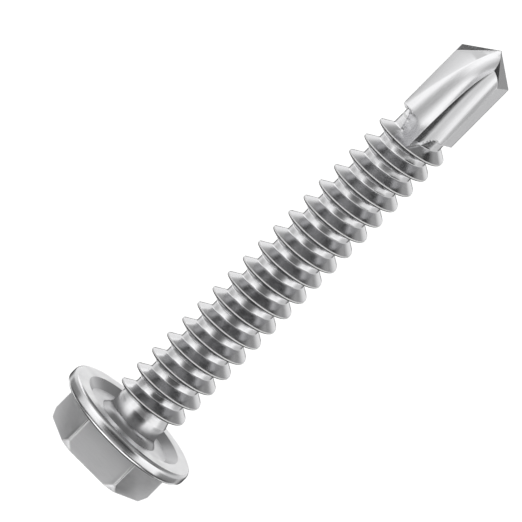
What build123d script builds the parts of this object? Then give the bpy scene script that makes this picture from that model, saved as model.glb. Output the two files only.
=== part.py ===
from build123d import *
import os
from math import ceil, cos, exp, radians, sin, tan

# One self drilling screw: hexagon head with a washer flange, spaced thread, fluted drill point.
# Millimetres. It stands on its head: the origin is the middle of the head's end face, and +Z runs
# along the shank to the tip of the drill point. -Y faces a flat of the hexagon.

# Overall
LENGTH = 44.3  # bearing face of the flange to the tip
HEAD_HEIGHT = 4.6  # end face of the head to the bearing face

# Hexagon
HEX_AF = 9.3  # across flats
CORNER_CUT = 0.42  # how far the turned chamfer comes in from a corner at the end face
CORNER_CUT_HEIGHT = 0.79  # height of that chamfer at a corner
BEVEL_WIDTH = 0.6  # flat bevel along each side of the end face
BEVEL_HEIGHT = 0.18

# Indent in the end of the head
INDENT_D = 6.7  # at its mouth
INDENT_WALL = 0.5  # width of its sloping wall
INDENT_DEPTH = 1.0
INDENT_DISH = 0.12  # how far the middle of its floor lies below the floor's edge

# Washer flange
FLANGE_D = 12.9
FLANGE_THICKNESS = 1.2
FLANGE_CONE = 0.25  # how far the flange's back rises from its rim to the hexagon
RIM_ROLL = 0.25  # how far the round rim stands out past the bearing face
BEARING_WIDTH = 1.2  # flat ring that bears on the sheet

# Undercut inside the bearing ring
UNDERCUT_WALL = 0.85  # width of its sloping wall
UNDERCUT_DEPTH = 0.64

# Thread: right-handed, spaced
THREAD_D = 6.2
THREAD_HEIGHT = 0.95  # core to crest
PITCH = 1.83
CREST_WIDTH = 0.12
TIP_FLANK = 33.0  # degrees from square to the axis
HEAD_FLANK = 21.0
THREAD_ROOT = 0.25  # how far the rolled ridge is carried into the core
FIRST_CREST = 1.87  # bearing face to the first full crest, on the -X side
RUN_IN = 0.85  # length over which the thread grows to full height
RUN_OUT = 0.32  # length over which it fades out below the drill point

# Neck under the head
NECK_STEP = 0.265  # how far the neck stands out past the core
NECK_FLARE = 0.53  # 45 degree flare at the undercut's floor
NECK_LENGTH = 1.2  # bearing face to the shoulder
SHOULDER_LENGTH = 0.43  # rounded end of the neck
NECK_TAPER = 0.5  # from the shoulder down to the core

# Drill point
LAND_STEP = 0.55  # how far the lands stand out past the core
DRILL_LENGTH = 8.85  # tip back to the ledge under the lands
POINT_ANGLE = 109.0
LAND_ANGLE = 43.0  # arc of each land behind its cutting corner
RELIEF = 0.36  # fall of the end facets behind the lips, per unit of width
LIP_ANGLE = 7.0  # how far the rake face stands ahead of the lip's outer corner
LIP_DROP = 0.65  # height of the small facet under the lip at its outer end

# Flutes
WEB_R = 0.12  # from the axis to the rake face's foot, level with the tip
RAKE_PAST_LEDGE = 0.15  # ledge to where the rake face would reach the land
RAKE_BOW = 1.6  # how straight the rake face's foot runs: a lower value bows it outwards
FLUTE_TAIL = 2.0  # length over which the flute then leaves the core
TAIL_CURVE = 1.25  # how gently it starts to leave
HEEL_TAIL = 0.25  # how far the flute's edge at the land's heel leaves with it, per unit
LAST_CREST_LAP = 0.73  # how far the last full crest laps the end of the flute
RIDGE_TOP = 1.29  # tip back to where the ridge in the flute starts
RIDGE_TOP_X = 0.72
RIDGE_TOP_SINK = 0.51  # how far the ridge starts inside the core's surface
RIDGE_RISE = 1.5  # how late the ridge climbs to the core's surface
RIDGE_END_X = 0.06
RIDGE_DECAY = 2.0  # length over which the ridge swings to the middle of the flute
MAIN_HOLLOW = 0.12  # depth of the hollow beside the rake face, per unit of its width
SIDE_HOLLOW = 0.15  # the same, for the hollow beside the land
END_HOLLOW = 0.05  # share of both hollows that is left past the flute's end
CLEAR = 1.0  # how far the cutting shapes stand outside the metal

BEARING_Z = HEAD_HEIGHT
TIP_Z = HEAD_HEIGHT + LENGTH
CORNER_R = HEX_AF / 2 / cos(radians(30))
FACE_R = FLANGE_D / 2 - RIM_ROLL
THREAD_R = THREAD_D / 2
CORE_R = THREAD_R - THREAD_HEIGHT
NECK_R = CORE_R + NECK_STEP
DRILL_R = CORE_R + LAND_STEP
RAKE_LENGTH = DRILL_LENGTH + RAKE_PAST_LEDGE
FLUTE_LENGTH = RAKE_LENGTH + FLUTE_TAIL
FALL = 1 / tan(radians(POINT_ANGLE / 2))


def ring(*points):
    """Turn an outline of (radius, z) points about the axis."""
    outline = make_face(Polyline(*points, close=True))
    return revolve(Plane.XZ * outline, Axis.Z)


def hexagon():
    """Hexagon with its turned corner chamfer, bevelled end face and dished indent."""
    top = BEARING_Z - FLANGE_THICKNESS / 2
    body = extrude(RegularPolygon(CORNER_R, 6), top)
    # the chamfer is a cone that opens towards the flange
    spread = top * CORNER_CUT / CORNER_CUT_HEIGHT
    cone_r = CORNER_R - CORNER_CUT
    body &= ring((0, 0), (cone_r, 0), (cone_r + spread, top), (0, top))
    # the bevel is a six-sided pyramid that opens the same way
    inset = BEVEL_WIDTH / cos(radians(30))
    wide_r = CORNER_R - inset + inset * top / BEVEL_HEIGHT
    small_end = RegularPolygon(CORNER_R - inset, 6)
    body &= loft([small_end, Pos(0, 0, top) * RegularPolygon(wide_r, 6)], ruled=True)
    mouth = INDENT_D / 2
    spare = CLEAR * INDENT_WALL / INDENT_DEPTH
    body -= ring((0, -CLEAR), (mouth + spare, -CLEAR), (mouth - INDENT_WALL, INDENT_DEPTH),
                 (0, INDENT_DEPTH + INDENT_DISH))
    return body


def flange():
    """Washer flange with a round rim and the undercut inside its bearing face."""
    back_z = BEARING_Z - FLANGE_THICKNESS
    floor_z = BEARING_Z - UNDERCUT_DEPTH
    ring_r = FACE_R - BEARING_WIDTH
    cone_z = back_z - FLANGE_CONE
    with BuildSketch(Plane.XZ) as section:
        with BuildLine():
            Polyline((0, floor_z), (0, cone_z), (CORNER_R, cone_z), (FACE_R, back_z))
            ThreePointArc((FACE_R, back_z), (FLANGE_D / 2, (back_z + BEARING_Z) / 2), (FACE_R, BEARING_Z))
            Polyline((FACE_R, BEARING_Z), (ring_r, BEARING_Z), (ring_r - UNDERCUT_WALL, floor_z),
                     (0, floor_z))
        make_face()
    return revolve(section.sketch, Axis.Z)


def shank():
    """Flared neck, rounded shoulder and the core up into the drill point."""
    floor_z = BEARING_Z - UNDERCUT_DEPTH
    foot_z = floor_z - UNDERCUT_DEPTH / 2
    flare_r = NECK_R + NECK_FLARE
    shoulder_z = BEARING_Z + NECK_LENGTH
    step_z = shoulder_z + SHOULDER_LENGTH
    step_r = NECK_R - NECK_STEP / 2
    end_z = TIP_Z - DRILL_LENGTH + CLEAR
    with BuildSketch(Plane.XZ) as section:
        with BuildLine():
            Polyline((0, foot_z), (flare_r, foot_z), (flare_r, floor_z), (NECK_R, floor_z + NECK_FLARE),
                     (NECK_R, shoulder_z))
            TangentArc((NECK_R, shoulder_z), (step_r, step_z), tangent=(0, 1))
            Polyline((step_r, step_z), (CORE_R, step_z + NECK_TAPER), (CORE_R, end_z), (0, end_z),
                     (0, foot_z))
        make_face()
    return revolve(section.sketch, Axis.Z)


def upward(normal):
    """The same direction, or its opposite if it points down."""
    return normal if normal.Z > 0 else -normal


def drill_point():
    """Blank of the drill point with its four end facets, before the flutes are cut."""
    heel_x = DRILL_R * cos(radians(LAND_ANGLE))
    heel_y = -DRILL_R * sin(radians(LAND_ANGLE))
    heel = Vector(heel_x, heel_y, RELIEF * heel_y - FALL * heel_x)
    ridge_r = CORE_R - RIDGE_TOP_SINK
    ridge = Vector(RIDGE_TOP_X, -((ridge_r ** 2 - RIDGE_TOP_X ** 2) ** 0.5), -RIDGE_TOP)
    blank = Pos(0, 0, TIP_Z - DRILL_LENGTH) * extrude(Circle(DRILL_R), DRILL_LENGTH + CLEAR)
    # one facet lies behind each lip, and one holds the tip, the land's heel and the ridge's top
    for facet in (Vector(FALL, -RELIEF, 1), upward(heel.cross(ridge))):
        for turn in (0, 180):
            cut = Plane((0, 0, TIP_Z), z_dir=facet.rotate(Axis.Z, turn))
            blank = split(blank, bisect_by=cut, keep=Keep.BOTTOM)
    return blank


def flute_section(depth):
    """Outline of one flute at a depth below the tip: rake face, main hollow, ridge, side hollow."""
    outside = DRILL_R + CLEAR
    far = 2 * outside
    lift = (max(depth - RAKE_LENGTH, 0) / FLUTE_TAIL) ** TAIL_CURVE
    # the foot of the rake face moves out to the land as the flute gets shallower
    run = min(depth / RAKE_LENGTH, 1)
    foot_r = WEB_R + (DRILL_R - WEB_R) * run * (1 + RAKE_BOW) / (run + RAKE_BOW)
    rake = radians(180 + LIP_ANGLE)
    foot = Vector(foot_r * cos(rake), foot_r * sin(rake) - CORE_R * lift)
    # the ridge swings to the middle of the flute and climbs to the core's surface
    rise = (max(depth - RIDGE_TOP, 0) / (FLUTE_LENGTH - RIDGE_TOP)) ** RIDGE_RISE
    ridge_r = CORE_R - RIDGE_TOP_SINK * (1 - rise)
    swing = exp((RIDGE_TOP - max(depth, 0)) / RIDGE_DECAY)
    ridge_x = RIDGE_END_X + (RIDGE_TOP_X - RIDGE_END_X) * swing
    ridge = Vector(ridge_x, -((ridge_r ** 2 - ridge_x ** 2) ** 0.5))
    # the heel of the land stays straight, then leaves with the rest
    land = radians(LAND_ANGLE)
    heel = Vector(DRILL_R * cos(land), -DRILL_R * (sin(land) + HEEL_TAIL * lift))
    past_heel = heel * (outside / DRILL_R)
    fade = max(1 - lift, END_HOLLOW)
    with BuildSketch(Plane.XY.offset(TIP_Z - depth)) as section:
        with BuildLine():
            SagittaArc(foot, ridge, MAIN_HOLLOW * fade * (ridge - foot).length)
            SagittaArc(ridge, heel, SIDE_HOLLOW * fade * (heel - ridge).length)
            Polyline(heel, past_heel, (past_heel.X, -far), (-outside, -far),
                     (-outside, foot.Y - (outside - foot_r) * tan(radians(LIP_ANGLE))), foot)
        make_face()
    return section.sketch.face()


def flute():
    """One flute: the length beside the land, then the tail on the core."""
    beside = [-CLEAR / 2] + [RAKE_LENGTH * share for share in (0.1, 0.3, 0.6, 1)]
    tail = [RAKE_LENGTH + FLUTE_TAIL * share for share in (0, 0.4, 0.75, 1.15)]
    return loft([flute_section(depth) for depth in beside]) + loft([flute_section(depth) for depth in tail])


def lip_facet():
    """The small facet in front of one cutting lip."""
    reach = DRILL_R + CLEAR
    turn = radians(180 + LIP_ANGLE)
    lip = Vector(-DRILL_R, 0, -FALL * DRILL_R)
    under = Vector(DRILL_R * cos(turn), DRILL_R * sin(turn), -FALL * DRILL_R - LIP_DROP)
    outline = Polyline((0, 0), (-reach, 0), (-reach, -reach * tan(radians(2 * LIP_ANGLE))), close=True)
    height = 2 * reach * FALL + LIP_DROP
    wedge = extrude(Pos(0, 0, TIP_Z - height) * make_face(outline), height + CLEAR)
    return split(wedge, bisect_by=Plane((0, 0, TIP_Z), z_dir=upward(lip.cross(under))), keep=Keep.TOP)


def thread():
    """Helical ridge that grows out of the neck and fades out below the drill point."""
    start_z = BEARING_Z + FIRST_CREST - PITCH
    full_z = BEARING_Z + FIRST_CREST - CREST_WIDTH / 2
    last_z = TIP_Z - FLUTE_LENGTH + LAST_CREST_LAP + CREST_WIDTH / 2
    foot_r = CORE_R - THREAD_ROOT
    inner_r = foot_r - THREAD_ROOT
    half = CREST_WIDTH / 2
    depth = THREAD_R - foot_r
    profile = make_face(Polyline(
        (foot_r, -half - depth * tan(radians(HEAD_FLANK))),
        (THREAD_R, -half),
        (THREAD_R, half),
        (foot_r, half + depth * tan(radians(TIP_FLANK))),
        close=True))
    # each turn is its own sweep, so that no face winds round more than once
    turn = sweep(Plane.XZ * profile, path=Helix(pitch=PITCH, height=PITCH, radius=CORE_R), is_frenet=True)
    count = ceil((last_z + RUN_OUT - start_z) / PITCH) + 1
    # cones at both ends shape the run-in and the run-out, and reach past both edges of the ridge
    over_r = THREAD_R + THREAD_ROOT
    grow = RUN_IN / THREAD_HEIGHT
    fade = RUN_OUT / THREAD_HEIGHT
    limits = ring(
        (0, full_z - (THREAD_R - inner_r) * grow),
        (inner_r, full_z - (THREAD_R - inner_r) * grow),
        (over_r, full_z + THREAD_ROOT * grow),
        (over_r, last_z - THREAD_ROOT * fade),
        (inner_r, last_z + (THREAD_R - inner_r) * fade),
        (0, last_z + (THREAD_R - inner_r) * fade))
    turns = [Pos(0, 0, start_z + PITCH * index) * Rot(0, 0, 180) * turn for index in range(count)]
    return Part() + [piece & limits for piece in turns]


def screw():
    """The whole screw, as one solid."""
    body = hexagon() + flange() + shank() + drill_point()
    for turn in (0, 180):
        body -= Rot(0, 0, turn) * flute()
        body -= Rot(0, 0, turn) * lip_facet()
    return body + thread()


os.makedirs("parts", exist_ok=True)
export_step(screw().solid(), "parts/drill_screw.step")
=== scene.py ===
from math import atan2, ceil, cos, degrees, exp, hypot, pi, radians, sin, tan

import bmesh
import bpy
from mathutils import Matrix, Vector


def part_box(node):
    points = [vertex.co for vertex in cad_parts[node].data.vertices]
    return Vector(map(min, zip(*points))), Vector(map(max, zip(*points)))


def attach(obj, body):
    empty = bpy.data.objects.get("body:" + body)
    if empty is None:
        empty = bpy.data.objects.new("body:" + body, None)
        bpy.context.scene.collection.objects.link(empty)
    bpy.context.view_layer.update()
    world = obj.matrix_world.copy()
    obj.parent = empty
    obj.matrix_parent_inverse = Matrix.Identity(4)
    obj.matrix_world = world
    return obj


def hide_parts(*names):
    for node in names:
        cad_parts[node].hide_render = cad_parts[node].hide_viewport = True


# A self drilling screw: hexagon head with a washer flange, spaced thread, fluted drill point.
# The screw is modelled in millimetres and brought to metres once it is whole. It stands on its
# head, +Z runs along the shank to the tip, and -Y faces a flat of the hexagon.

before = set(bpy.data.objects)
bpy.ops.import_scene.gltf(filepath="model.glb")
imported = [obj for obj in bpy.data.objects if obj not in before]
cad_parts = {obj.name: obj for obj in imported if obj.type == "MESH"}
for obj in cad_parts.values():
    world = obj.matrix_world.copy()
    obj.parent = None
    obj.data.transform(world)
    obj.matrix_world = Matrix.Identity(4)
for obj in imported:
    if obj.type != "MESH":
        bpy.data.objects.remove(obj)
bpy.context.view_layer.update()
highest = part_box("drill_screw")[1]
MM = 0.001

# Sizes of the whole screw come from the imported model
TIP_Z = highest.z / MM
FLANGE_R = highest.x / MM

# Head
BEARING_Z = 4.6
HEX_AF = 9.3
CORNER_CUT = 0.42
CORNER_CUT_HEIGHT = 0.79
BEVEL_WIDTH = 0.6
BEVEL_HEIGHT = 0.06
HEX_EDGE = 0.15  # rounding along the hexagon's upright edges
HEX_RIM = 0.07  # rounding round its chamfers and end face
HEX_CREASE = 8  # least angle, in degrees, between two low faces whose edge is rounded
FLANGE_THICKNESS = 1.2
FLANGE_CONE = 0.18
RIM_ROLL = 0.25
RIM_UNDER = 0.13  # height of the rim's shaded edge on the hexagon's side
RIM_LAP = 0.1  # how far that edge reaches in under the rim
RIM_FLATNESS = 4.5  # how flat the middle of the rim is: 2 is an arc
RIM_STEPS = 18
BACK_HUB = 0.05  # how far the flat part of the flange's back stands out past the hexagon's corners
BACK_FILLET = 0.3
BEARING_WIDTH = 1.2
BEARING_EDGE = 0.08  # rounding between the bearing face and the undercut's wall
UNDERCUT_WALL = 0.85
UNDERCUT_DEPTH = 0.64
UNDERCUT_FILLET = 0.15
INDENT_R = 3.35
INDENT_MOUTH = 0.05  # how far the rounded mouth of the indent spreads
INDENT_EDGE = 0.06
INDENT_WALL = 0.5
INDENT_DEPTH = 1.0
INDENT_FILLET = 0.12
INDENT_DISH = 0.12

# Shank and thread
CORE_R = 2.15
THREAD_R = 3.1
PITCH = 1.83
CREST_WIDTH = 0.19
TIP_FLANK = 33.0
HEAD_FLANK = 23.0
ROOT_FILLET = 0.14
CREST_EDGE = 0.025
CREST_UNDER = 0.12  # rounding of the crest's edge on the head's side
CREST_BAND = 0.075  # how deep the crest's painted highlight and painted shade reach
FIRST_CREST = 1.87
RUN_IN_TURN = 200.0  # degrees over which the ridge grows out of the neck
LAST_TURN = 17.55  # turns from the first full crest to the last
RUN_OUT_TURN = 75.0
NECK_R = 2.415
NECK_FLARE = 0.53
FLARE_EDGE = 0.04
FLARE_FILLET = 0.6
NECK_LENGTH = 1.2
SHOULDER = 0.43
SHOULDER_EDGE = 0.1
NECK_TAPER = 0.5
TAPER_FILLET = 0.2
NECK_LAP = 0.5  # how far the neck is carried up inside the core
NECK_SINK = 0.1  # how far its end lies below the core's surface
FLARE_BLEND = 0.25  # how far past the flare its painted shade reaches
SHANK_START = 0.8  # bearing face to the end of the thread's core inside the neck
SHANK_LAP = 0.6  # how far the core is carried up inside the drill point

# Drill point
DRILL_R = 2.7
DRILL_LENGTH = 8.85
LEDGE_EDGE = 0.06
POINT_ANGLE = 109.0
LAND_ANGLE = 43.0
RELIEF = 0.36
LIP_ANGLE = 7.0
LIP_DROP = 0.65
WEB_R = 0.12
RAKE_LENGTH = 9.0
RAKE_BOW = 1.6
FLUTE_LENGTH = 11.0
RIDGE_TOP = 1.29
RIDGE_TOP_X = 0.72
RIDGE_TOP_SINK = 0.51
RIDGE_RISE = 1.5
RIDGE_END_X = 0.06
RIDGE_DECAY = 2.0
MAIN_HOLLOW = 0.12
SIDE_HOLLOW = 0.15
# Where the flute runs out below the ledge, as (depth below the tip, x) of its two side walls. Its
# sloping end leaves the last crest whole
LEFT_WALL = ((8.8, -2.0), (8.95, -1.72), (9.4, -1.55), (9.96, -1.4), (10.2, -1.34), (11.1, -1.12),
             (12, -1.1))
RIGHT_WALL = ((8.8, 1.6), (9.0, 1.3), (9.46, 0.95), (9.91, 0.78), (10.2, 0.68), (10.5, 0.4), (10.77, 0.1),
              (12, 0.1))
WALL_SLANT = 0.12
WALL_RISE = 2  # how steeply the walls' outlines leave the flute
END_SLOPE = 0.245
END_TILT = END_SLOPE / 5  # slope of the flute's end along the thread
END_CREST = 17.25  # turns from the first full crest to the one that the flute ends on

# The flute's outline outside the metal, as its far side and its shoulders, per unit of its reach, and
# how far the tail's outline leans out there, at its left shoulder, its left end and its heel
FAR_SIDE = 2
SHOULDERS = 1.8
LEFT_SHOULDER_LEAN = 0.1
LEFT_END_LEAN = 0.2
HEEL_LEAN = 0.6

# Fineness of the meshes
TURN_STEPS = 120  # faces round one turn
ARC_STEPS = 5
HOLLOW_STEPS = 14
CLEAR = 1.0  # how far the cutting shapes stand outside the metal
SMOOTH_ANGLE = 28  # degrees up to which faces shade as one

# Depths of the flute's sections below the tip: beside the land, on both sides of the ledge, in the tail
ABOVE_TIP = 0.5
SECTION_GAP = 0.3
SECTIONS_BESIDE = 29
LAST_BESIDE = 8.6
LEDGE_GAP = 0.005
TAIL_START = 8.9
TAIL_GAP = 0.1
TAIL_SECTIONS = 28

# Places in the lists of finishes, among them painted highlights and painted shades: of the hexagon, the
# flange and neck, the thread, and the drill point's blank
ROUNDED_EDGE = 1
FACED, DIMMED, RIM_SHADE, SUNKEN = 1, 2, 3, 4
CREST, UNDERSIDE, CREST_SHADE = 1, 2, 3
SECOND_FACET = 1

# How faces are told apart for those finishes and painted shades: slack in height, how far down a crest's
# lower edge and an underside look, as their normal's z, and how closely a facet's normal must agree
SLACK = 0.01
CREST_LOOKS_DOWN = -0.08
UNDERSIDE_LOOKS_DOWN = -0.6
SAME_WAY = 0.999

CORNER_R = HEX_AF / 2 / cos(radians(30))
FACE_R = FLANGE_R - RIM_ROLL
FALL = 1 / tan(radians(POINT_ANGLE / 2))
AXIS = Vector((0, 0, 1))


def round_about(angle, radius=1.0, z=0.0):
    """Point at an angle in degrees round the screw's axis."""
    return Vector((radius * cos(radians(angle)), radius * sin(radians(angle)), z))


def rounded(*corners):
    """Outline through (radius, z, fillet) corners, with each fillet drawn as an arc."""
    outline = []
    for index, (radius, z, fillet) in enumerate(corners):
        corner = Vector((radius, z))
        if not fillet:
            outline.append(corner)
            continue
        back = (Vector(corners[index - 1][:2]) - corner).normalized()
        on = (Vector(corners[index + 1][:2]) - corner).normalized()
        half = back.angle(on) / 2
        centre = corner + (back + on).normalized() * fillet / sin(half)
        start = corner + back * fillet / tan(half) - centre
        end = corner + on * fillet / tan(half) - centre
        first = atan2(start.y, start.x)
        sweep = (atan2(end.y, end.x) - first + pi) % (2 * pi) - pi
        for step in range(ARC_STEPS + 1):
            angle = first + sweep * step / ARC_STEPS
            outline.append(centre + Vector((cos(angle), sin(angle))) * fillet)
    return outline


def barrel(radius, low, high, stand_out, steps):
    """Rim profile from a low to a high edge: nearly flat in the middle, round at the edges."""
    points = []
    for step in range(steps + 1):
        place = sin(pi * (step / steps - 0.5))
        bulge = stand_out * (1 - abs(place) ** RIM_FLATNESS)
        points.append(Vector((radius + bulge, (low + high) / 2 + place * (high - low) / 2)))
    return points


def piece(name, bm, *finishes):
    """Object made of a finished mesh and its finishes."""
    mesh = bpy.data.meshes.new(name)
    for finish in finishes:
        mesh.materials.append(finish)
    bmesh.ops.recalc_face_normals(bm, faces=bm.faces)
    bm.to_mesh(mesh)
    bm.free()
    made = bpy.data.objects.new(name, mesh)
    bpy.context.scene.collection.objects.link(made)
    return made


def turned(outline):
    """Closed shape spun from an outline that starts and ends on the axis."""
    bm = bmesh.new()
    verts = [bm.verts.new((radius, 0, z)) for radius, z in outline]
    edges = [bm.edges.new(pair) for pair in zip(verts, verts[1:])]
    bmesh.ops.spin(bm, geom=verts + edges, cent=(0, 0, 0), axis=AXIS, angle=2 * pi, steps=TURN_STEPS,
                   use_merge=True)
    bmesh.ops.remove_doubles(bm, verts=bm.verts, dist=1e-4)
    return bm


def slice_off(bm, point, normal):
    """Cut away what lies beyond a plane and close the cut."""
    geometry = bm.verts[:] + bm.edges[:] + bm.faces[:]
    cut = bmesh.ops.bisect_plane(bm, geom=geometry, dist=1e-5, plane_co=point, plane_no=normal,
                                 clear_outer=True)
    rim = [item for item in cut["geom_cut"] if isinstance(item, bmesh.types.BMEdge)]
    bmesh.ops.contextual_create(bm, geom=rim)


def round_over(bm, edges, width, segments):
    """Round some edges and give them the painted highlight of rounded edges."""
    made = bmesh.ops.bevel(bm, geom=edges, offset=width, offset_type="OFFSET", segments=segments,
                           profile=0.5, affect="EDGES", material=-1, clamp_overlap=True)
    for side in made["faces"]:
        side.material_index = ROUNDED_EDGE


def sharp(bm, least):
    """Edges at which two faces meet at more than an angle in degrees."""
    return [edge for edge in bm.edges if len(edge.link_faces) == 2
            and edge.calc_face_angle() > radians(least)]


def hexagon():
    """Hexagon with rounded edges, a flat chamfer at each corner and a bevel along each side."""
    top = BEARING_Z - FLANGE_THICKNESS / 2
    bm = bmesh.new()
    bmesh.ops.create_cone(bm, cap_ends=True, segments=6, radius1=CORNER_R, radius2=CORNER_R, depth=top)
    bmesh.ops.rotate(bm, verts=bm.verts, matrix=Matrix.Rotation(radians(90), 3, "Z"))
    bmesh.ops.translate(bm, verts=bm.verts, vec=(0, 0, top / 2))
    upright = [edge for edge in bm.edges if abs(edge.verts[0].co.z - edge.verts[1].co.z) > top / 2]
    round_over(bm, upright, HEX_EDGE, segments=4)
    for index in range(6):
        corner = 60 * index
        slope = round_about(corner, CORNER_CUT_HEIGHT, -CORNER_CUT)
        slice_off(bm, round_about(corner, CORNER_R, CORNER_CUT_HEIGHT), slope)
        slope = round_about(corner + 30, BEVEL_HEIGHT, -BEVEL_WIDTH)
        slice_off(bm, round_about(corner + 30, HEX_AF / 2, BEVEL_HEIGHT), slope)
    low = [edge for edge in sharp(bm, HEX_CREASE)
           if edge.verts[0].co.z < top / 2 and edge.verts[1].co.z < top / 2]
    round_over(bm, low, HEX_RIM, segments=2)
    return bm


def indent():
    """Shape of the indent in the end of the head."""
    mouth = INDENT_R + INDENT_MOUTH
    return turned(rounded(
        (0, -CLEAR, 0), (mouth + CLEAR, -CLEAR, 0), (mouth, 0, INDENT_EDGE),
        (INDENT_R - INDENT_WALL, INDENT_DEPTH, INDENT_FILLET), (0, INDENT_DEPTH + INDENT_DISH, 0)))


def flange_and_neck():
    """Washer flange, its undercut, and the flared neck that runs into the core."""
    back_z = BEARING_Z - FLANGE_THICKNESS
    floor_z = BEARING_Z - UNDERCUT_DEPTH
    ring_r = FACE_R - BEARING_WIDTH
    flare_r = NECK_R + NECK_FLARE
    shoulder_z = BEARING_Z + NECK_LENGTH
    taper_z = shoulder_z + SHOULDER + NECK_TAPER
    back = rounded((0, back_z - FLANGE_CONE, 0), (CORNER_R + BACK_HUB, back_z - FLANGE_CONE, BACK_FILLET),
                   (FACE_R, back_z, 0))
    rim = barrel(FACE_R, back_z, BEARING_Z, RIM_ROLL, RIM_STEPS)
    face = rounded((FACE_R, BEARING_Z, 0), (ring_r, BEARING_Z, BEARING_EDGE),
                   (ring_r - UNDERCUT_WALL, floor_z, UNDERCUT_FILLET), (flare_r, floor_z, FLARE_EDGE),
                   (NECK_R, floor_z + NECK_FLARE, FLARE_FILLET),
                   (NECK_R, shoulder_z + SHOULDER_EDGE, SHOULDER_EDGE),
                   (CORE_R, taper_z, TAPER_FILLET), (CORE_R, taper_z + NECK_LAP, 0),
                   (0, taper_z + NECK_LAP, 0))
    face[-2].x = CORE_R - NECK_SINK
    bm = turned(back[:-1] + rim[:-1] + face)
    for side in bm.faces:
        centre = side.calc_center_median()
        radius = centre.xy.length
        # The bearing face gets its own finish and the undercut a painted shade
        if centre.z > floor_z - SLACK and flare_r < radius < FACE_R:
            side.material_index = FACED if radius > ring_r else SUNKEN
        # The flare at the neck's foot, and a little past it, gets a painted shade
        if floor_z + SLACK < centre.z < floor_z + NECK_FLARE + FLARE_BLEND and radius < flare_r:
            side.material_index = DIMMED
        # The rim's lower edge on the hexagon's side gets a near-black painted shade
        if centre.z < back_z + RIM_UNDER and radius > FACE_R - RIM_LAP:
            side.material_index = RIM_SHADE
    return bm


def ridge_share(turn):
    """Height of the thread at a number of turns past its first full crest, as a share."""
    grown = 1 + turn * 360 / RUN_IN_TURN
    left = 1 - (turn - LAST_TURN) * 360 / RUN_OUT_TURN
    share = max(0.0, min(1.0, grown, left))
    return share * share * (3 - 2 * share)


def threaded_shank():
    """Core and thread in one skin: the outline of one pitch wound along the shank."""
    half = CREST_WIDTH / 2
    height = THREAD_R - CORE_R
    outline = rounded(
        (CORE_R, -PITCH / 2, 0),
        (CORE_R, -half - height * tan(radians(HEAD_FLANK)), ROOT_FILLET),
        (THREAD_R, -half, CREST_UNDER),
        (THREAD_R, half, CREST_EDGE),
        (CORE_R, half + height * tan(radians(TIP_FLANK)), ROOT_FILLET),
        (CORE_R, PITCH / 2, 0))
    first_z = BEARING_Z + FIRST_CREST
    low_z = BEARING_Z + SHANK_START
    high_z = TIP_Z - DRILL_LENGTH + SHANK_LAP
    turns_below, turns_above = 3, 2
    turns = turns_below + ceil((high_z - first_z) / PITCH) + turns_above
    bm = bmesh.new()
    verts = [bm.verts.new((-radius, 0, first_z - turns_below * PITCH + z)) for radius, z in outline]
    edges = [bm.edges.new(pair) for pair in zip(verts, verts[1:])]
    bmesh.ops.spin(bm, geom=verts + edges, cent=(0, 0, 0), axis=AXIS, dvec=(0, 0, PITCH / TURN_STEPS),
                   angle=2 * pi, steps=TURN_STEPS)
    # A band round the crest gets a near-white painted highlight
    for side in bm.faces:
        radius = side.calc_center_median().xy.length
        side.material_index = CREST if radius > THREAD_R - CREST_BAND else 0
    bmesh.ops.recalc_face_normals(bm, faces=bm.faces)
    one_turn = bm.verts[:] + bm.edges[:] + bm.faces[:]
    for index in range(1, turns):
        copied = bmesh.ops.duplicate(bm, geom=one_turn)["geom"]
        copied_verts = [item for item in copied if isinstance(item, bmesh.types.BMVert)]
        bmesh.ops.translate(bm, verts=copied_verts, vec=AXIS * PITCH * index)
    bmesh.ops.remove_doubles(bm, verts=bm.verts, dist=1e-3)
    for vert in bm.verts:
        radius = hypot(vert.co.x, vert.co.y)
        part_turn = atan2(-vert.co.y, -vert.co.x) / (2 * pi)
        whole_turns = round((vert.co.z - first_z) / PITCH - part_turn)
        scale = (CORE_R + (radius - CORE_R) * ridge_share(whole_turns + part_turn)) / radius
        vert.co.x *= scale
        vert.co.y *= scale
    bmesh.ops.recalc_face_normals(bm, faces=bm.faces)
    # The crest band's lower edge gets a near-black painted shade, and the thread's undersides a darker
    # painted shade
    for side in bm.faces:
        if side.material_index == CREST and side.normal.z < CREST_LOOKS_DOWN:
            side.material_index = CREST_SHADE
        elif side.normal.z < UNDERSIDE_LOOKS_DOWN:
            side.material_index = UNDERSIDE
    slice_off(bm, (0, 0, high_z), AXIS)
    slice_off(bm, (0, 0, low_z), -AXIS)
    return bm


def upward(normal):
    """The same direction, or its opposite if it points down."""
    return normal if normal.z > 0 else -normal


def half_turn(vector):
    """The same vector on the other side of the axis."""
    return Vector((-vector.x, -vector.y, vector.z))


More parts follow.
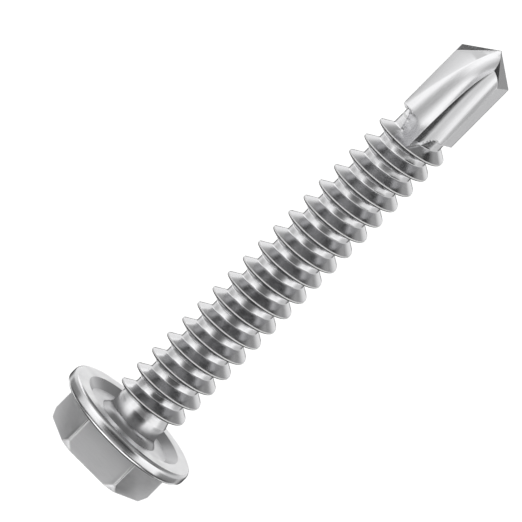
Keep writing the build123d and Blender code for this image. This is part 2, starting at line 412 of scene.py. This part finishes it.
def drill_blank():
    """The end of the screw before its flutes are cut, with flat lands and four end facets."""
    tip = Vector((0, 0, TIP_Z))
    ledge_z = TIP_Z - DRILL_LENGTH
    bm = turned(rounded((0, ledge_z, 0), (DRILL_R, ledge_z, LEDGE_EDGE), (DRILL_R, TIP_Z + CLEAR, 0),
                        (0, TIP_Z + CLEAR, 0)))
    heel = round_about(-LAND_ANGLE, DRILL_R)
    heel.z = RELIEF * heel.y - FALL * heel.x
    ridge_r = CORE_R - RIDGE_TOP_SINK
    ridge = Vector((RIDGE_TOP_X, -((ridge_r ** 2 - RIDGE_TOP_X ** 2) ** 0.5), -RIDGE_TOP))
    half_land = LAND_ANGLE / 2
    for vert in bm.verts:
        off = abs((degrees(atan2(vert.co.y, vert.co.x)) + half_land + 90) % 180 - 90)
        if off < half_land:
            flat = cos(radians(half_land)) / cos(radians(off))
            vert.co.x *= flat
            vert.co.y *= flat
    behind_ridge = upward(heel.cross(ridge)).normalized()
    for facet in (Vector((FALL, -RELIEF, 1)), behind_ridge):
        slice_off(bm, tip, facet)
        slice_off(bm, tip, half_turn(facet))
    bmesh.ops.recalc_face_normals(bm, faces=bm.faces)
    # The second facets, behind the ridges, get a painted shade, darker than the ground steel
    for side in bm.faces:
        if max(side.normal.dot(behind_ridge), side.normal.dot(half_turn(behind_ridge))) > SAME_WAY:
            side.material_index = SECOND_FACET
    return bm


def bowed(start, end, bow, steps):
    """Arc between two points that bows towards the screw's axis by a share of its chord."""
    chord = end - start
    sag = bow * chord.length
    half = chord.length / 2
    radius = (half ** 2 + sag ** 2) / (2 * sag)
    side = Vector((-chord.y, chord.x)).normalized()
    centre = (start + end) / 2 - side * (radius - sag)
    spread = atan2(half, radius - sag)
    along = chord.normalized()
    angles = [spread * (2 * step / steps - 1) for step in range(steps + 1)]
    return [centre + side * radius * cos(angle) + along * radius * sin(angle) for angle in angles]


def between(stops, place):
    """Value at a place on the line through (place, value) stops."""
    for (start, low), (end, high) in zip(stops, stops[1:]):
        if place <= end:
            break
    return low + (high - low) * (place - start) / (end - start)


def walled(point, low, high, floor_y):
    """A point of the outline, folded outwards where it lies beyond one of the flute's side walls."""
    beyond = max(low - point.x, point.x - high, 0)
    if not beyond:
        return point
    side = 1 if point.x > high else -1
    wall = high if side > 0 else low
    return Vector((wall + side * WALL_SLANT * beyond, floor_y - WALL_RISE * beyond))


def run_out(outline, depth):
    """The outline between the flute's side walls."""
    low = between(LEFT_WALL, depth)
    high = between(RIGHT_WALL, depth)
    inner = [point for point in outline if low <= point.x <= high]
    return [walled(point, low, high, inner[0].y if point.x < low else inner[-1].y) for point in outline]


def flute_section(depth):
    """Outline of a flute at a depth below the tip: rake face, main hollow, ridge, side hollow."""
    outside = DRILL_R + CLEAR
    run = min(depth / RAKE_LENGTH, 1)
    foot_r = WEB_R + (DRILL_R - WEB_R) * run * (1 + RAKE_BOW) / (run + RAKE_BOW)
    foot = round_about(180 + LIP_ANGLE, foot_r).xy
    rise = (min(max(depth, RIDGE_TOP), FLUTE_LENGTH) - RIDGE_TOP) / (FLUTE_LENGTH - RIDGE_TOP)
    ridge_r = CORE_R - RIDGE_TOP_SINK * (1 - rise ** RIDGE_RISE)
    swing = exp((RIDGE_TOP - max(depth, 0)) / RIDGE_DECAY)
    ridge_x = RIDGE_END_X + (RIDGE_TOP_X - RIDGE_END_X) * swing
    ridge = Vector((ridge_x, -((ridge_r ** 2 - ridge_x ** 2) ** 0.5)))
    heel = round_about(-LAND_ANGLE, DRILL_R).xy
    outline = bowed(foot, ridge, MAIN_HOLLOW, HOLLOW_STEPS)
    outline += bowed(ridge, heel, SIDE_HOLLOW, HOLLOW_STEPS)[1:]
    left = [Vector((-outside, -FAR_SIDE * outside)),
            Vector((-outside, foot.y - (outside - foot_r) * tan(radians(LIP_ANGLE))))]
    if depth > DRILL_LENGTH:
        outline = run_out(outline, depth)
        left = [Vector((outline[0].x - LEFT_END_LEAN, -FAR_SIDE * outside)),
                Vector((outline[0].x - LEFT_SHOULDER_LEAN, -SHOULDERS * outside))]
    past_heel = outline[-1].x + HEEL_LEAN
    outline += [Vector((past_heel, -SHOULDERS * outside)), Vector((past_heel, -FAR_SIDE * outside))]
    return [point.to_3d() + AXIS * (TIP_Z - depth) for point in outline + left]


def skin_over(bm, sections):
    """Closed skin through sections of as many points each, extruded from one to the next."""
    ring = [bm.verts.new(point) for point in sections[0]]
    bm.faces.new(ring)
    for section in sections[1:]:
        edges = [bm.edges.get((ring[index - 1], ring[index])) for index in range(len(ring))]
        made = bmesh.ops.extrude_edge_only(bm, edges=edges)["geom"]
        fresh = {item.co.to_tuple(5): item for item in made if isinstance(item, bmesh.types.BMVert)}
        ring = [fresh[vert.co.to_tuple(5)] for vert in ring]
        for vert, point in zip(ring, section):
            vert.co = point
    bm.faces.new(ring)


def flute():
    """Shape that cuts one flute, from above the tip down to its end on the last thread."""
    depths = [-ABOVE_TIP] + [SECTION_GAP * index for index in range(SECTIONS_BESIDE)]
    depths += [LAST_BESIDE, DRILL_LENGTH - LEDGE_GAP, DRILL_LENGTH + LEDGE_GAP]
    depths += [TAIL_START + TAIL_GAP * index for index in range(TAIL_SECTIONS)]
    bm = bmesh.new()
    skin_over(bm, [flute_section(depth) for depth in depths])
    bmesh.ops.recalc_face_normals(bm, faces=bm.faces)
    crest = Vector((0, -THREAD_R, BEARING_Z + FIRST_CREST + END_CREST * PITCH + CREST_WIDTH / 2))
    slice_off(bm, crest, (END_TILT, -END_SLOPE, -1))
    return bm


def lip_facet():
    """Shape that cuts the small facet in front of a lip."""
    reach = DRILL_R + CLEAR
    tip = Vector((0, 0, TIP_Z))
    lip = Vector((-DRILL_R, 0, -FALL * DRILL_R))
    under = round_about(180 + LIP_ANGLE, DRILL_R, -FALL * DRILL_R - LIP_DROP)
    height = 2 * reach * FALL + LIP_DROP
    outline = [Vector((0, 0, TIP_Z + CLEAR)), Vector((-reach, 0, TIP_Z + CLEAR)),
               round_about(180 + 2 * LIP_ANGLE, reach / cos(radians(2 * LIP_ANGLE)), TIP_Z + CLEAR)]
    bm = bmesh.new()
    skin_over(bm, [outline, [point - AXIS * (height + CLEAR) for point in outline]])
    bmesh.ops.recalc_face_normals(bm, faces=bm.faces)
    slice_off(bm, tip, -upward(lip.cross(under)))
    return bm


def add(tree, kind, settings=None, **inputs):
    """New node, with its settings and with numbers or links on its inputs."""
    made = tree.nodes.new(kind)
    for name, value in (settings or {}).items():
        setattr(made, name, value)
    for name, value in inputs.items():
        socket = made.inputs[int(name[1:])] if name[1:].isdigit() else made.inputs[name.replace("_", " ")]
        if isinstance(value, bpy.types.NodeSocket):
            tree.links.new(value, socket)
        else:
            socket.default_value = value
    return made.outputs[0]


def ramp(tree, factor, stops):
    """Grey that follows (place, value) stops."""
    made = tree.nodes.new("ShaderNodeValToRGB")
    tree.links.new(factor, made.inputs["Fac"])
    made.color_ramp.interpolation = "EASE"
    elements = made.color_ramp.elements
    while len(elements) < len(stops):
        elements.new(0.5)
    for element, (place, value) in zip(elements, stops):
        element.position = place
        element.color = (value, value, value, 1)
    return made.outputs["Color"]


def marks(tree, stretch, rings):
    """Fine tool marks as a noise: stretched along x, y and z, or in rings about the axis."""
    place = add(tree, "ShaderNodeTexCoord")
    place = place.node.outputs["Object"]
    if rings:
        flat = add(tree, "ShaderNodeVectorMath", {"operation": "MULTIPLY"}, _0=place, _1=(1, 1, 0))
        length = add(tree, "ShaderNodeVectorMath", {"operation": "LENGTH"}, _0=flat)
        place = add(tree, "ShaderNodeCombineXYZ", Z=length.node.outputs["Value"])
    place = add(tree, "ShaderNodeMapping", Vector=place, Scale=stretch)
    return add(tree, "ShaderNodeTexNoise", Vector=place, Scale=1.0, Detail=4.0, Roughness=0.6)


# The tool marks' noise, and how far it shifts a finish's tint and gloss
NOISE_RANGE = (0.3, 0.7)
TINT_RANGE = (0.93, 1.05)
GLOSS_RANGE = (0.8, 1.2)
RELIEF_STRENGTH = 0.5
BEVEL_SAMPLES = 6
QUARTER_TURN = 0.25


def metal(name, tint, gloss, stretch, depth, rings=False, brushed=0.0, metallic=1.0, rounding=0.02):
    """Bare steel, whose tint also makes painted highlights and shades: one noise of tool marks shifts its
    tint and its gloss and cuts a shallow relief.
    """
    material = bpy.data.materials.new(name)
    material.use_nodes = True
    tree = material.node_tree
    shader = tree.nodes["Principled BSDF"]
    shader.inputs["Metallic"].default_value = metallic
    noise = marks(tree, stretch, rings)
    darker, lighter = [(*[min(1, shift * part) for part in tint], 1) for shift in TINT_RANGE]
    colour = add(tree, "ShaderNodeMix", {"data_type": "RGBA"}, Factor=noise, _6=darker, _7=lighter)
    tree.links.new(colour.node.outputs[2], shader.inputs["Base Color"])
    low, high = NOISE_RANGE
    rough = add(tree, "ShaderNodeMapRange", _0=noise, _1=low, _2=high, _3=GLOSS_RANGE[0] * gloss,
                _4=GLOSS_RANGE[1] * gloss)
    tree.links.new(rough, shader.inputs["Roughness"])
    edges = add(tree, "ShaderNodeBevel", {"samples": BEVEL_SAMPLES}, Radius=rounding * MM)
    relief = add(tree, "ShaderNodeBump", Strength=RELIEF_STRENGTH, Distance=depth, Height=noise,
                 Normal=edges)
    tree.links.new(relief, shader.inputs["Normal"])
    if brushed:
        shader.inputs["Anisotropic"].default_value = brushed
        shader.inputs["Anisotropic Rotation"].default_value = QUARTER_TURN
        tangent = add(tree, "ShaderNodeTangent", {"direction_type": "RADIAL", "axis": "Z"})
        tree.links.new(tangent, shader.inputs["Tangent"])
    return material


def combined(base, steps):
    """Join and cut shapes into the base, then drop them."""
    for shape, operation in steps:
        modifier = base.modifiers.new(shape.name, "BOOLEAN")
        modifier.operation = operation
        modifier.solver = "EXACT"
        modifier.material_mode = "TRANSFER"
        modifier.object = shape
    view = bpy.context.evaluated_depsgraph_get()
    mesh = bpy.data.meshes.new_from_object(base.evaluated_get(view))
    for shape, _ in steps:
        bpy.data.objects.remove(shape)
    base.modifiers.clear()
    base.data = mesh
    return base


def screw():
    """The whole screw in one mesh."""
    steel = (0.8, 0.8, 0.81)
    turned_steel = metal("turned_steel", steel, 0.2, (300, 300, 14000), 3e-6, brushed=0.4)
    rolled_steel = metal("rolled_steel", steel, 0.2, (300, 300, 14000), 3e-6, brushed=0.4)
    forged_steel = metal("forged_steel", (0.9, 0.9, 0.91), 0.38, (900, 900, 9000), 4e-6)
    ground_steel = metal("ground_steel", steel, 0.22, (9000, 9000, 700), 2e-6, rounding=0.06)
    faced_steel = metal("faced_steel", (0.95, 0.95, 0.96), 0.36, (900, 900, 900), 3e-6)
    # Near-white painted highlight for the hexagon's rounded edges and the thread's crests
    painted_highlight_edges = metal("painted_highlight_edges", (0.98, 0.98, 0.98), 0.4, (300, 300, 9000), 1e-6, metallic=0.1)
    # Painted shade on the thread's undersides
    underside_painted_shade = metal("underside_painted_shade", (0.42, 0.42, 0.43), 0.2, (300, 300, 9000), 1e-6, rounding=0.005)
    # Near-black painted shade on the crests' lower edges and under the rim
    shaded_steel = metal("shaded_steel", (0.04, 0.04, 0.04), 0.35, (300, 300, 9000), 1e-6, rounding=0.005)
    # Painted shade on the flare at the neck's foot and on the drill point's second facets
    flare_and_facet_painted_shade = metal("flare_and_facet_painted_shade", (0.5, 0.5, 0.51), 0.3, (900, 900, 900), 2e-6)
    # Painted shade in the undercut
    undercut_painted_shade = metal("undercut_painted_shade", (0.62, 0.62, 0.63), 0.33, (900, 900, 900), 3e-6)
    spun_steel = metal("spun_steel", steel, 0.25, (0, 0, 14000), 4e-6, rings=True, brushed=0.7)
    base = piece("self_drilling_screw", flange_and_neck(), turned_steel, faced_steel, flare_and_facet_painted_shade,
                 shaded_steel, undercut_painted_shade)
    steps = [
        (piece("hexagon", hexagon(), forged_steel, painted_highlight_edges), "UNION"),
        (piece("indent", indent(), spun_steel), "DIFFERENCE"),
        (piece("shank", threaded_shank(), rolled_steel, painted_highlight_edges, underside_painted_shade, shaded_steel), "UNION"),
        (piece("blank", drill_blank(), ground_steel, flare_and_facet_painted_shade), "UNION")]
    for angle in (0, 180):
        for shape in (flute(), lip_facet()):
            bmesh.ops.rotate(shape, verts=shape.verts, matrix=Matrix.Rotation(radians(angle), 3, "Z"))
            steps.append((piece("cut", shape, ground_steel), "DIFFERENCE"))
    whole = combined(base, steps)
    whole.data.transform(Matrix.Scale(MM, 4))
    for face in whole.data.polygons:
        face.use_smooth = True
    whole.data.set_sharp_from_angle(angle=radians(SMOOTH_ANGLE))
    return whole


FLOOR_REACH = 2.0  # how far the floor reaches from the screw, in metres
FLOOR_GLOW = 0.75  # how much white the camera sees on the floor besides its light
FLOOR_GAP = 0.02  # the floor lies this far below the head's end, in millimetres


def floor():
    """Pale floor that the head stands on, clear when seen from below."""
    bm = bmesh.new()
    bmesh.ops.create_grid(bm, x_segments=1, y_segments=1, size=FLOOR_REACH)
    material = bpy.data.materials.new("pale_floor")
    material.use_nodes = True
    tree = material.node_tree
    shader = tree.nodes["Principled BSDF"]
    shader.inputs["Base Color"].default_value = (0.9, 0.9, 0.9, 1)
    shader.inputs["Roughness"].default_value = 0.9
    shader.inputs["Specular IOR Level"].default_value = 0
    shader.inputs["Emission Color"].default_value = (1, 1, 1, 1)
    path = add(tree, "ShaderNodeLightPath")
    glow = add(tree, "ShaderNodeMath", {"operation": "MULTIPLY"}, _0=path.node.outputs["Is Camera Ray"],
               _1=FLOOR_GLOW)
    tree.links.new(glow, shader.inputs["Emission Strength"])
    side = add(tree, "ShaderNodeNewGeometry").node.outputs["Backfacing"]
    clear = add(tree, "ShaderNodeBsdfTransparent")
    one_sided = add(tree, "ShaderNodeMixShader", _0=side, _1=shader.outputs["BSDF"], _2=clear)
    tree.links.new(one_sided, tree.nodes["Material Output"].inputs["Surface"])
    ground = piece("floor", bm, material)
    ground.visible_glossy = False
    ground.location.z = -FLOOR_GAP * MM


# Brightness of the studio, as the screw sees it: round the horizon from behind, by the left, the
# front and the right to behind again, in degrees, and from straight down to straight up
ROUND_ABOUT = ((-180, 1.0), (-150, 0.9), (-128, 0.8), (-112, 0.55), (-96, 0.55), (-74, 0.9), (-56, 1.3),
               (-20, 1.25), (0, 0.9), (14, 0.8), (34, 1.0), (46, 1.25), (80, 1.2), (106, 0.65), (140, 0.65),
               (155, 0.8), (180, 1.0))
DOWN_TO_UP = ((-1, 1.4), (-0.76, 1.4), (-0.64, 0.05), (-0.43, 0.03), (-0.33, 0.85),
              (-0.2, 1), (0.3, 1), (0.6, 0.46), (0.85, 0.26), (1, 0.22))

# Darkness low behind the screw, which draws its outlines, and low light beside it, which the thread
# passes on: in degrees from the front and by height
BEHIND = ((-180, 1), (-160, 1), (-138, 0), (138, 0), (160, 1), (180, 1))
LOW = ((-1, 1), (-0.12, 1), (0.05, 0), (1, 0))
OUTLINE_DARK = 0.94
BESIDE = ((-180, 1), (-90, 1), (-68, 0), (68, 0), (90, 1), (180, 1))
LOWER = ((-0.8, 0), (-0.68, 1), (-0.38, 1), (-0.3, 0))
SIDE_LIGHT = 1.0

# The ramps round the horizon and beside the screw hold brightness as a share of the world's strength
WORLD_STRENGTH = 2.0

# Cards near the screw, each as its direction from the front, its distance, the height of its
# middle, its half width and half height, the shares of both that cover fully, and its brightness
CARDS = (
    (5, 50, 7.5, 46, 22, 0.17, 0.88, 0.15),
    (-101.5, 23, -5.5, 12, 8.5, 0.6, 0.5, 0.22),
    (101.5, 23, -5.5, 12, 8.5, 0.6, 0.5, 0.22),
    (0, 22, -6, 9, 7, 0.6, 0.6, 0.45),
    (5, 21, 1.9, 15, 3.2, 0.55, 0.5, 0.02),
    (62, 50, 35, 36, 13, 0.45, 0.75, 0.03),
    (-56, 50, 35, 22, 13, 0.3, 0.75, 0.5),
    (-115, 50, 37.4, 40, 10.4, 0.6, 0.92, 1.25),
    (-42, 50, 80, 16, 14, 0.5, 0.5, 0.03),
    (144, 50, 75, 24, 18, 0.5, 0.5, 0.36),
    (117, 50, 127, 24, 32, 0.5, 0.5, 0.01),
    (-77, 13, -4.5, 6.5, 5.5, 0.5, 0.8, 0.08),
    (77, 13, -4.5, 6.5, 5.5, 0.5, 0.8, 0.08),
    (-90, 13, -19, 7, 7, 0.6, 0.6, 0.3),
    (90, 13, -19, 7, 7, 0.6, 0.6, 0.3))


def card(turn, distance, middle, half_width, half_height, across, upright, level):
    """Card with soft edges, which only the metal's reflections show."""
    bm = bmesh.new()
    bmesh.ops.create_grid(bm, x_segments=1, y_segments=1, size=1)
    bmesh.ops.scale(bm, verts=bm.verts, vec=(half_width * MM, half_height * MM, 1))
    bmesh.ops.rotate(bm, verts=bm.verts, matrix=Matrix.Rotation(radians(90), 3, "X"))
    material = bpy.data.materials.new("studio_card")
    material.use_nodes = True
    tree = material.node_tree
    tree.nodes.remove(tree.nodes["Principled BSDF"])
    place = add(tree, "ShaderNodeTexCoord")
    split = add(tree, "ShaderNodeSeparateXYZ", _0=place.node.outputs["Object"])
    cover = 1.0
    for axis, half, share in ((0, half_width, across), (2, half_height, upright)):
        far = add(tree, "ShaderNodeMath", {"operation": "ABSOLUTE"}, _0=split.node.outputs[axis])
        soft = add(tree, "ShaderNodeMapRange", {"interpolation_type": "SMOOTHSTEP"}, _0=far,
                   _1=share * half * MM, _2=half * MM, _3=1.0, _4=0.0)
        cover = add(tree, "ShaderNodeMath", {"operation": "MULTIPLY"}, _0=soft, _1=cover)
    clear = add(tree, "ShaderNodeBsdfTransparent")
    grey = add(tree, "ShaderNodeEmission", Color=(1, 1, 1, 1), Strength=level)
    mixed = add(tree, "ShaderNodeMixShader", _0=cover, _1=clear, _2=grey)
    tree.links.new(mixed, tree.nodes["Material Output"].inputs["Surface"])
    made = piece("studio_card", bm, material)
    away = Matrix.Translation((0, -distance * MM, middle * MM))
    made.matrix_world = Matrix.Rotation(radians(turn), 4, "Z") @ away
    made.visible_camera = False
    made.visible_diffuse = False
    made.visible_shadow = False


def studio():
    """White behind the screw, soft light round it."""
    world = bpy.data.worlds.new("studio")
    bpy.context.scene.world = world
    world.use_nodes = True
    tree = world.node_tree
    glow = tree.nodes["Background"]
    place = add(tree, "ShaderNodeTexCoord")
    split = add(tree, "ShaderNodeSeparateXYZ", _0=place.node.outputs["Generated"])
    x, y, z = split.node.outputs
    front = add(tree, "ShaderNodeMath", {"operation": "MULTIPLY"}, _0=y, _1=-1.0)
    angle = add(tree, "ShaderNodeMath", {"operation": "ARCTAN2"}, _0=x, _1=front)
    level = add(tree, "ShaderNodeMapRange", _0=angle, _1=-pi, _2=pi)
    height = add(tree, "ShaderNodeMapRange", _0=z, _1=-1.0, _2=1.0)
    bands = ramp(tree, level, [(0.5 + side / 360, value / WORLD_STRENGTH) for side, value in ROUND_ABOUT])
    falls = ramp(tree, height, [(0.5 + share / 2, value) for share, value in DOWN_TO_UP])
    light = add(tree, "ShaderNodeMath", {"operation": "MULTIPLY"}, _0=bands, _1=falls)
    behind = ramp(tree, level, [(0.5 + side / 360, value) for side, value in BEHIND])
    low = ramp(tree, height, [(0.5 + share / 2, value) for share, value in LOW])
    dark = add(tree, "ShaderNodeMath", {"operation": "MULTIPLY"}, _0=behind, _1=low)
    left = add(tree, "ShaderNodeMath", {"operation": "MULTIPLY_ADD"}, _0=dark, _1=-OUTLINE_DARK, _2=1.0)
    light = add(tree, "ShaderNodeMath", {"operation": "MULTIPLY"}, _0=light, _1=left)
    beside = ramp(tree, level, [(0.5 + side / 360, value * SIDE_LIGHT / WORLD_STRENGTH)
                                for side, value in BESIDE])
    lower = ramp(tree, height, [(0.5 + share / 2, value) for share, value in LOWER])
    light = add(tree, "ShaderNodeMath", {"operation": "MULTIPLY_ADD"}, _0=beside, _1=lower, _2=light)
    tree.links.new(light, glow.inputs["Color"])
    glow.inputs["Strength"].default_value = WORLD_STRENGTH
    white = add(tree, "ShaderNodeBackground", Color=(1, 1, 1, 1), Strength=1.0)
    path = add(tree, "ShaderNodeLightPath")
    seen = add(tree, "ShaderNodeMixShader", _0=path.node.outputs["Is Camera Ray"],
               _1=glow.outputs[0], _2=white)
    tree.links.new(seen, tree.nodes["World Output"].inputs["Surface"])


# The camera faces a flat of the hexagon from a little above and is rolled, so that the screw lies
# across the frame. Its distance and the frame's width are in metres
CAMERA_ELEVATION = 14.0
CAMERA_ROLL = 44.85
CAMERA_DISTANCE = 1.8
FRAME_WIDTH = 0.0431
AIM = Vector((-1.83, 0, 21.89)) * MM


def camera():
    """Long lens at the photograph's angle."""
    data = bpy.data.cameras.new("camera")
    data.sensor_width = 36
    data.lens = data.sensor_width * CAMERA_DISTANCE / FRAME_WIDTH
    data.clip_start = 0.01
    data.clip_end = 10
    made = bpy.data.objects.new("camera", data)
    back = Vector((0, -cos(radians(CAMERA_ELEVATION)), sin(radians(CAMERA_ELEVATION))))
    look = back.to_track_quat("Z", "Y").to_matrix().to_4x4()
    roll = Matrix.Rotation(radians(CAMERA_ROLL), 4, "Z")
    made.matrix_world = Matrix.Translation(AIM + back * CAMERA_DISTANCE) @ look @ roll
    bpy.context.scene.collection.objects.link(made)
    bpy.context.scene.camera = made


whole = screw()
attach(whole, "root")
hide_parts("drill_screw")
floor()
studio()
for sizes in CARDS:
    card(*sizes)
camera()
bpy.context.scene.view_settings.view_transform = "Standard"
